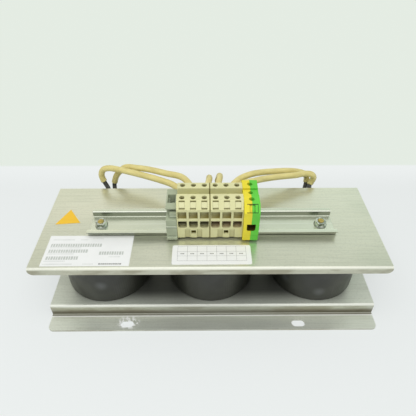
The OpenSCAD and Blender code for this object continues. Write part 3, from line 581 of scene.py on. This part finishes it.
# Leads: two black insulated wires leave each cup under the rear edge of the top
# plate, bend up over it and run in tan sleeves to the rear of the terminals.
plate_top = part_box("top_plate")[1].z
row_x = -0.0015
clamp_y, entry_y, entry_z = 0.0165, 0.0224, 0.0193
inside_y, cup_y, outside_y, outlet_z = 0.0315, 0.0445, 0.0475, -0.010
pole_x = [-0.0270, -0.0168, -0.0066, 0.0036, 0.0138, 0.0240]
outlet_x = [-0.1118, -0.1052, -0.0033, 0.0033, 0.1052, 0.1118]
free_runs = [
    [[-111.7, 55.6, -9.5], [-114, 64.7, -4], [-118.3, 68.1, 4.2], [-119.6, 68.5, 12.6], [-115.8, 67.4, 20.5],
     [-109.3, 66.5, 22.7], [-99.9, 64.7, 22.4], [-77.2, 58, 21], [-51.9, 47.2, 20.5], [-39.1, 39, 21],
     [-29.7, 28, 20.5]],
    [[-105.7, 55.6, -10.5], [-107.6, 66.7, -9], [-108.5, 72.1, -4], [-107.9, 72.7, -1], [-104.7, 72.7, 7.9],
     [-98.5, 72.2, 15.8], [-92, 70.7, 21], [-78.6, 67.6, 22.1], [-65.7, 62.6, 23.6], [-45.9, 51.7, 26.2],
     [-29.5, 43.5, 27.3], [-20.2, 30.8, 25.2]],
    [[-3.3, 56, -9.5], [-2.3, 65.5, -5], [-1.6, 68.6, 2.1], [-1.3, 65.3, 9.5], [-1.2, 58.9, 15.4],
     [-1.4, 50.1, 19.6], [-2.8, 39.1, 21.5], [-4.7, 28.1, 21]],
    [[3.7, 56, -9.5], [5.7, 66, -5], [8.2, 69.5, 2.1], [9.6, 67.2, 10.5], [10.1, 59.4, 17.3],
     [9.7, 50.2, 21.5], [8.1, 39.2, 23.1], [6.1, 28.2, 21.8]],
    [[105.7, 58, -11], [107.7, 69.2, -10], [110.1, 75.7, -4], [109.9, 77.3, 2.1], [106.1, 76.8, 7.4],
     [98.9, 75.4, 11], [88.2, 71.2, 15.2], [70.6, 66, 18.4], [52.9, 57.6, 22.8], [41.3, 50.2, 25.7],
     [30.8, 45.6, 23.9], [20.8, 32.8, 23.1]],
    [[111.7, 56.3, -10], [111.9, 65.4, -5.5], [112.5, 68.9, -2], [114.2, 70, 1.1], [115.4, 69.5, 7.4],
     [111.7, 68.5, 12.4], [104.6, 68, 13.7], [92.2, 62.5, 15.5], [75.1, 56.9, 17.9], [57.4, 48.5, 21.5],
     [46.8, 41.1, 24.7], [29.8, 34, 24.2]],
]
sleeve_starts = [4, 5, 4, 4, 4, 4]

wire_black, skin = finish("wire_black")
run = shader(wire_black, "TexCoord").outputs["UV"]
lengthwise = shader(wire_black, "Mapping", {"Vector": run, "Scale": (22.0, 60.0, 1.0)}).outputs[0]
lines = shader(wire_black, "TexNoise", {"Vector": lengthwise, "Scale": 1.0, "Detail": 2.0}).outputs[0]
joined(wire_black, mixed(wire_black, spread(wire_black, lines, 0.4, 0.65, 0, 1),
                         (0.022, 0.022, 0.021, 1), (0.075, 0.075, 0.07, 1)), skin, "Base Color")
joined(wire_black, bumped(wire_black, lines, 0.3, 0.0002), skin, "Normal")
skin.inputs["Roughness"].default_value = 0.42

sleeve_tan, skin = finish("sleeve_tan")
run = shader(sleeve_tan, "TexCoord").outputs["UV"]
smear = shader(sleeve_tan, "Mapping", {"Vector": run, "Scale": (5.0, 70.0, 1.0)}).outputs[0]
smear = shader(sleeve_tan, "TexNoise", {"Vector": smear, "Scale": 1.0, "Detail": 4.0}).outputs[0]
creases = shader(sleeve_tan, "Mapping", {"Vector": run, "Scale": (3.0, 700.0, 1.0)}).outputs[0]
creases = shader(sleeve_tan, "TexNoise", {"Vector": creases, "Scale": 1.0, "Detail": 2.0}).outputs[0]
joined(sleeve_tan, mixed(sleeve_tan, spread(sleeve_tan, smear, 0.3, 0.7, 0, 1),
                         (0.76, 0.67, 0.28, 1), (0.65, 0.56, 0.22, 1)), skin, "Base Color")
joined(sleeve_tan, spread(sleeve_tan, smear, 0.3, 0.7, 0.36, 0.5), skin, "Roughness")
joined(sleeve_tan, bumped(sleeve_tan, creases, 0.12, 0.0002), skin, "Normal")


def smooth_run(points, step=0.0012):
    """Catmull-Rom curve through the points with centripetal knots, sampled about every step."""
    p = np.asarray(points, float)
    p = np.concatenate([[2 * p[0] - p[1]], p, [2 * p[-1] - p[-2]]])
    knot = np.concatenate([[0], np.cumsum(np.linalg.norm(np.diff(p, axis=0), axis=1) ** 0.5)])
    pieces, marks = [], []
    for i in range(1, len(p) - 2):
        count = max(3, int(np.linalg.norm(p[i + 1] - p[i]) / step))
        t = np.linspace(knot[i], knot[i + 1], count, endpoint=False)[:, None]
        k = knot[i - 1:i + 3]
        a = [((k[j + 1] - t) * p[i - 1 + j] + (t - k[j]) * p[i + j]) / (k[j + 1] - k[j]) for j in range(3)]
        b = [((k[j + 2] - t) * a[j] + (t - k[j]) * a[j + 1]) / (k[j + 2] - k[j]) for j in range(2)]
        marks.append(sum(len(q) for q in pieces))
        pieces.append(((k[2] - t) * b[0] + (t - k[1]) * b[1]) / (k[2] - k[1]))
    marks.append(sum(len(q) for q in pieces))
    return np.concatenate(pieces + [p[-2:-1]]), marks


def carried_frames(line):
    """Two side directions at each point of a line, carried along it without twist."""
    ahead = np.gradient(line, axis=0)
    ahead /= np.linalg.norm(ahead, axis=1)[:, None]
    side = np.array([0.0, 0.0, 1.0])
    sides = np.empty_like(line)
    for i, t in enumerate(ahead):
        side = side - (side @ t) * t
        side = side / np.linalg.norm(side)
        sides[i] = side
    return sides, np.cross(ahead, sides)


def swept(name, line, rows, radii, material, around=24):
    """A round skin carried along a line: row i sits at line[rows[i]] with the radius radii[i].
    UV is the share of the way round, and the distance along in metres."""
    a, b = carried_frames(line)
    turn = np.linspace(0, 2 * math.pi, around, endpoint=False)
    rim = np.cos(turn)[None, :, None] * a[rows][:, None] + np.sin(turn)[None, :, None] * b[rows][:, None]
    grid = line[rows][:, None] + np.asarray(radii)[:, None, None] * rim
    far = np.concatenate([[0], np.cumsum(np.linalg.norm(np.diff(line, axis=0), axis=1))])[rows]
    uv = np.stack(np.meshgrid(far, turn / (2 * math.pi), indexing="ij")[::-1], -1)
    return surface(name, grid, material, uv=uv)


wire_r, bore_r, sleeve_r = 0.0024, 0.0025, 0.0033
tucked = 6
for i, (run_mm, start) in enumerate(zip(free_runs, sleeve_starts)):
    number = str(i + 1)
    points = np.concatenate([
        [[outlet_x[i], inside_y, outlet_z], [outlet_x[i], outside_y, outlet_z]],
        np.array(run_mm) / 1000,
        [[pole_x[i], entry_y, entry_z], [pole_x[i], clamp_y, entry_z]],
    ]) + [row_x, 0, plate_top]
    line, marks = smooth_run(points)
    last = len(line) - 1
    rows = np.concatenate([[0], np.arange(last + 1), [last]])
    radii = np.concatenate([[0.0], np.full(last + 1, wire_r), [0.0]])
    wire = swept("wire_" + number, line, rows, radii, wire_black, around=20)
    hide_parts("lead_" + number)
    first = marks[start]
    inside = np.arange(first + tucked, first, -1)
    outside = np.arange(first, last + 1)
    rim_r = bore_r + (sleeve_r - bore_r) * np.array([0.0, 0.12, 0.5, 0.88])
    far = np.linspace(0, 1, len(outside))
    wobble = 1 - 0.012 * np.sin(far * 23 + i) * np.sin(far * 61 + 2 * i)
    rows = np.concatenate([inside, np.full(len(rim_r), first), outside, [last]])
    radii = np.concatenate([np.full(tucked, bore_r), rim_r, sleeve_r * wobble, [bore_r]])
    sleeve = swept("sleeve_" + number, line, rows, radii, sleeve_tan)
    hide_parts("lead_sleeve_" + number)


# Stickers: a white rating label, a white terminal label with an empty table, and
# a plain yellow triangle, each a thin film on the top plate.
label_white = moulded("label_white", (0.88, 0.89, 0.875), 0.35, 0.03, 0.03)
label_yellow = moulded("label_yellow", (0.90, 0.55, 0.03), 0.4, 0.05, 0.03)
print_faint = moulded("print_faint", (0.76, 0.78, 0.755), 0.5, 0.1, 0.0)
print_pale = moulded("print_pale", (0.58, 0.61, 0.57), 0.5, 0.1, 0.0)
print_dark = moulded("print_dark", (0.30, 0.30, 0.29), 0.5, 0.1, 0.0)
for node, slot, material in (("rating_label", "label_white", label_white),
                             ("terminal_label", "label_white", label_white),
                             ("triangle_label", "label_yellow", label_yellow)):
    dressed(node, 0.00006, material)


def printed(name, boxes, top, material):
    """Flat fields of ink just above a film; boxes holds left, front, right and back of each."""
    ink_height = 0.00002
    b = np.asarray(boxes, float)
    z = np.full(len(b), top + ink_height)
    corners = np.stack([
        np.stack([b[:, 0], b[:, 1], z], -1), np.stack([b[:, 2], b[:, 1], z], -1),
        np.stack([b[:, 2], b[:, 3], z], -1), np.stack([b[:, 0], b[:, 3], z], -1),
    ], 1).reshape(-1, 3)
    mesh = bpy.data.meshes.new(name)
    mesh.from_pydata(corners, [], np.arange(len(corners)).reshape(-1, 4))
    mesh.materials.append(material)
    piece = bpy.data.objects.new(name, mesh)
    bpy.context.scene.collection.objects.link(piece)
    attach(piece, "root")


def print_row(left, right, middle, tall, mark):
    """One row of small fields from left to right, each mark wide give or take a fifth, a gap after each."""
    gap = mark * 0.35
    count = max(1, int((right - left) / (mark + gap)))
    wide = mark * (1 + 0.2 * np.sin(np.arange(count) * 2.4 + middle * 900))
    start = left + np.concatenate([[0], np.cumsum(wide + gap)[:-1]])
    low, high = np.full(count, middle - tall / 2), np.full(count, middle + tall / 2)
    return np.stack([start, low, start + wide, high], -1)


low, high = (np.array(v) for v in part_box("rating_label"))
corner = np.array([low[0], low[1], low[0], low[1]])
tall_rows = [(0.0035, 0.0525, 0.0258), (0.0033, 0.0420, 0.0184), (0.0030, 0.0350, 0.0098),
             (0.0505, 0.0740, 0.0157)]
small_rows = [(0.0040, 0.0250, 0.0330), (0.0300, 0.0375, 0.0330), (0.0412, 0.0525, 0.0345),
              (0.0035, 0.0335, 0.0226), (0.0030, 0.0280, 0.0150), (0.0022, 0.0228, 0.0061),
              (0.0018, 0.0290, 0.0025), (0.0380, 0.0488, 0.0025), (0.0600, 0.0710, 0.0112)]
code_row = print_row(0.0523, 0.0735, 0.0026, 0.0017, 0.0014)
fields = [print_row(a, b, y, 0.0040, 0.0017) for a, b, y in tall_rows]
printed("rating_rows", np.concatenate(fields) + corner, high[2], print_pale)
fields = [print_row(a, b, y, 0.0014, 0.0009) for a, b, y in small_rows]
printed("rating_notes", np.concatenate(fields) + corner, high[2], print_faint)
printed("rating_code", code_row + corner, high[2], print_dark)

low, high = (np.array(v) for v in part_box("terminal_label"))
across = np.linspace(low[0] + 0.0050, high[0] - 0.0047, 8)
along = low[1] + np.array([0.0046, 0.0105, 0.0160, 0.0226])
ink = 0.00022
rules = [[x - ink / 2, along[0], x + ink / 2, along[-1]] for x in across]
rules += [[across[0], y - ink / 2, across[-1], y + ink / 2] for y in along]
printed("table_rules", rules, high[2], print_dark)
level = (along[1] + along[2]) / 2
cells = [print_row(a + 0.0028, b - 0.0022, level, 0.0013, 0.0009) for a, b in zip(across, across[1:])]
printed("table_marks", np.concatenate(cells), high[2], print_dark)


# Room: a pale floor that turns a little greener far behind the part, a soft lamp
# overhead, a pale surround whose brightness shows in the metal, and a camera that
# stands where a fit to the edges of the plates and the rail puts it.
floor_paint, skin = finish("floor_paint")
place = position(floor_paint)["Y"]
far = spread(floor_paint, place, 0.2135, 0.2195, 0, 1)
paint = mixed(floor_paint, far, (0.845, 0.875, 0.87, 1), (0.78, 0.84, 0.77, 1))
joined(floor_paint, paint, skin, "Base Color")
skin.inputs["Roughness"].default_value = 0.6
skin.inputs["Specular IOR Level"].default_value = 0.2
rays = shader(floor_paint, "LightPath")
shown = worst(floor_paint, rays.outputs["Is Camera Ray"], rays.outputs["Is Glossy Ray"],
              rays.outputs["Is Transmission Ray"])
even = share(floor_paint, shown, spread(floor_paint, place, 0.15, 0.22, 0.6, 1))
glow = shader(floor_paint, "Emission", {"Color": paint, "Strength": 1.0}).outputs[0]
blend = shader(floor_paint, "MixShader", {0: even, 1: skin.outputs[0], 2: glow}).outputs[0]
joined(floor_paint, blend, floor_paint.node_tree.nodes["Material Output"], "Surface")
mesh = bpy.data.meshes.new("floor")
half, level = 6, -0.0002
corners = [(-half, -half, level), (half, -half, level), (half, half, level), (-half, half, level)]
mesh.from_pydata(corners, [], [(0, 1, 2, 3)])
mesh.materials.append(floor_paint)
floor = bpy.data.objects.new("floor", mesh)
bpy.context.scene.collection.objects.link(floor)

lamp = bpy.data.lights.new("overhead", "AREA")
lamp.shape = "RECTANGLE"
lamp.size, lamp.size_y = 1.2, 0.9
lamp.energy = 9.0
overhead = bpy.data.objects.new("overhead", lamp)
overhead.matrix_world = Matrix.Translation((-0.12, -0.40, 1.1)) @ Matrix.Rotation(math.radians(20), 4, "X")
overhead.visible_glossy = False
bpy.context.scene.collection.objects.link(overhead)

room = bpy.data.worlds.new("room")
room.use_nodes = True
bpy.context.scene.world = room
backdrop = room.node_tree.nodes["Background"]
towards = shader(room, "SeparateXYZ", {0: shader(room, "TexCoord").outputs["Generated"]})
across, up = towards.outputs["X"], towards.outputs["Z"]
bright = (1.12, 1.12, 1.07, 1)
behind = mixed(room, spread(room, across, -0.45, 0.45, 0, 1), (1.07, 1.04, 0.92, 1), (0.91, 1.01, 0.92, 1))
seen = mixed(room, spread(room, up, 0.52, 0.80, 0, 0.8), behind, (0.36, 0.38, 0.35, 1))
seen = mixed(room, spread(room, up, 0.84, 0.95, 0, 1), seen, bright)
front = mixed(room, spread(room, up, 0.25, 0.85, 0, 1), (0.78, 0.80, 0.74, 1), bright)
seen = mixed(room, spread(room, towards.outputs["Y"], -0.5, 0.1, 1, 0), seen, front)
rays = shader(room, "LightPath")
shown = worst(room, rays.outputs["Is Glossy Ray"], rays.outputs["Is Transmission Ray"])
light = mixed(room, shown, (0.46, 0.47, 0.46, 1), seen)
joined(room, mixed(room, rays.outputs["Is Camera Ray"], light, (0.78, 0.84, 0.79, 1)), backdrop, "Color")

camera = bpy.data.cameras.new("camera")
camera.lens = 34.741
camera.sensor_width = 36.0
camera.clip_start = 0.01
watcher = bpy.data.objects.new("camera", camera)
watcher.matrix_world = (Matrix.Translation((-0.008032, -0.290131, 0.354363))
                        @ Matrix.Rotation(math.radians(-0.6723), 4, "Z")
                        @ Matrix.Rotation(math.radians(48.9849), 4, "X")
                        @ Matrix.Rotation(math.radians(0.2415), 4, "Z"))
bpy.context.scene.collection.objects.link(watcher)
bpy.context.scene.camera = watcher
bpy.context.scene.view_settings.view_transform = "Standard"
